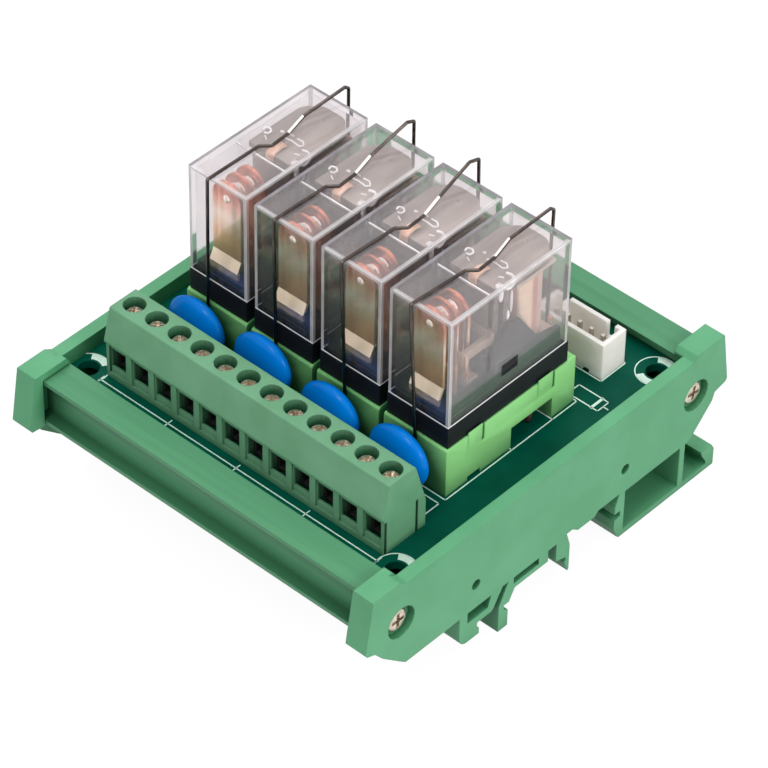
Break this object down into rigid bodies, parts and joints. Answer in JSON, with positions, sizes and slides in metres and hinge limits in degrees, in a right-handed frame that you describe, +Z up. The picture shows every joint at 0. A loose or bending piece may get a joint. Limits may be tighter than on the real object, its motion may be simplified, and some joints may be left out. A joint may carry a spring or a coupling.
{
  "type": "relay module board",
  "caption": "Plug-in relays under clear covers, a screw terminal row and a pin header on a board, in a green carrier with clip-on rail feet.",
  "frame": {"origin": "bottom centre of the bounding box, on the plane that the rail feet stand on", "axes": "+X along the terminal row, towards the end with the control header; +Y from the screw terminals to the header side; +Z up, away from the rail"},
  "size_m": [0.0782, 0.088, 0.0633],
  "materials": {
    "carrier_green": "satin moulded plastic",
    "terminal_green": "satin moulded plastic",
    "socket_green": "satin moulded plastic",
    "board_green": "solder mask",
    "varistor_blue": "glossy epoxy coat",
    "base_black": "satin moulded plastic",
    "cover_clear": "clear plastic",
    "header_white": "satin moulded plastic",
    "bobbin_white": "satin moulded plastic",
    "coil_wrap": "wound wire under tape",
    "card_khaki": "satin moulded plastic",
    "iron": "plated sheet",
    "screw_steel": "zinc plated",
    "spring_steel": "bright wire",
    "tinned_brass": "tinned",
    "contact_copper": "bright sheet",
    "diode_glass": "small glass body"
  },
  "bodies": {
    "module": {"carrier_tray": "carrier_green", "bracket_left": "carrier_green", "bracket_right": "carrier_green", "bracket_screws": "screw_steel", "circuit_board": "board_green", "terminal_housing": "terminal_green", "terminal_screws": "screw_steel", "terminal_clamps": "screw_steel", "terminal_pins": "tinned_brass", "varistor_leads": "tinned_brass", "socket_contacts": "tinned_brass", "coil_cores": "iron", "coil_windings": "coil_wrap", "diodes": "diode_glass", "header_housing": "header_white", "header_pins": "tinned_brass", "socket_1": "socket_green", "varistor_1": "varistor_blue", "relay_base_1": "base_black", "relay_cover_1": "cover_clear", "coil_bobbin_1": "bobbin_white", "yoke_1": "iron", "relay_terminals_1": "contact_copper", "wire_clip_1": "spring_steel", "socket_2": "socket_green", "varistor_2": "varistor_blue", "relay_base_2": "base_black", "relay_cover_2": "cover_clear", "coil_bobbin_2": "bobbin_white", "yoke_2": "iron", "relay_terminals_2": "contact_copper", "wire_clip_2": "spring_steel", "socket_3": "socket_green", "varistor_3": "varistor_blue", "relay_base_3": "base_black", "relay_cover_3": "cover_clear", "coil_bobbin_3": "bobbin_white", "yoke_3": "iron", "relay_terminals_3": "contact_copper", "wire_clip_3": "spring_steel", "socket_4": "socket_green", "varistor_4": "varistor_blue", "relay_base_4": "base_black", "relay_cover_4": "cover_clear", "coil_bobbin_4": "bobbin_white", "yoke_4": "iron", "relay_terminals_4": "contact_copper", "wire_clip_4": "spring_steel"},
    "relay_armature_1": {"armature_1": "iron", "actuator_card_1": "card_khaki"},
    "relay_contact_1": {"moving_contact_1": "contact_copper"},
    "relay_armature_2": {"armature_2": "iron", "actuator_card_2": "card_khaki"},
    "relay_contact_2": {"moving_contact_2": "contact_copper"},
    "relay_armature_3": {"armature_3": "iron", "actuator_card_3": "card_khaki"},
    "relay_contact_3": {"moving_contact_3": "contact_copper"},
    "relay_armature_4": {"armature_4": "iron", "actuator_card_4": "card_khaki"},
    "relay_contact_4": {"moving_contact_4": "contact_copper"}
  },
  "joints": [
    {"name": "armature_hinge_1", "type": "hinge", "parent": "module", "child": "relay_armature_1", "pos_m": [-0.02155, 0.0016, 0.057], "axis": [1, 0, 0], "range_deg": [-2, 0], "stiffness_Nm_per_rad": 0.02, "springref_deg": 5.73},
    {"name": "contact_flex_1", "type": "hinge", "parent": "module", "child": "relay_contact_1", "pos_m": [-0.02155, -0.0084, 0.0406], "axis": [1, 0, 0], "range_deg": [0, 2.2]},
    {"name": "armature_hinge_2", "type": "hinge", "parent": "module", "child": "relay_armature_2", "pos_m": [-0.00705, 0.0016, 0.057], "axis": [1, 0, 0], "range_deg": [-2, 0], "stiffness_Nm_per_rad": 0.02, "springref_deg": 5.73},
    {"name": "contact_flex_2", "type": "hinge", "parent": "module", "child": "relay_contact_2", "pos_m": [-0.00705, -0.0084, 0.0406], "axis": [1, 0, 0], "range_deg": [0, 2.2]},
    {"name": "armature_hinge_3", "type": "hinge", "parent": "module", "child": "relay_armature_3", "pos_m": [0.00745, 0.0016, 0.057], "axis": [1, 0, 0], "range_deg": [-2, 0], "stiffness_Nm_per_rad": 0.02, "springref_deg": 5.73},
    {"name": "contact_flex_3", "type": "hinge", "parent": "module", "child": "relay_contact_3", "pos_m": [0.00745, -0.0084, 0.0406], "axis": [1, 0, 0], "range_deg": [0, 2.2]},
    {"name": "armature_hinge_4", "type": "hinge", "parent": "module", "child": "relay_armature_4", "pos_m": [0.02195, 0.0016, 0.057], "axis": [1, 0, 0], "range_deg": [-2, 0], "stiffness_Nm_per_rad": 0.02, "springref_deg": 5.73},
    {"name": "contact_flex_4", "type": "hinge", "parent": "module", "child": "relay_contact_4", "pos_m": [0.02195, -0.0084, 0.0406], "axis": [1, 0, 0], "range_deg": [0, 2.2]}
  ],
  "couplings": [
    {"joint": "contact_flex_1", "follows": "armature_hinge_1", "ratio": -1.1},
    {"joint": "contact_flex_2", "follows": "armature_hinge_2", "ratio": -1.1},
    {"joint": "contact_flex_3", "follows": "armature_hinge_3", "ratio": -1.1},
    {"joint": "contact_flex_4", "follows": "armature_hinge_4", "ratio": -1.1}
  ]
}
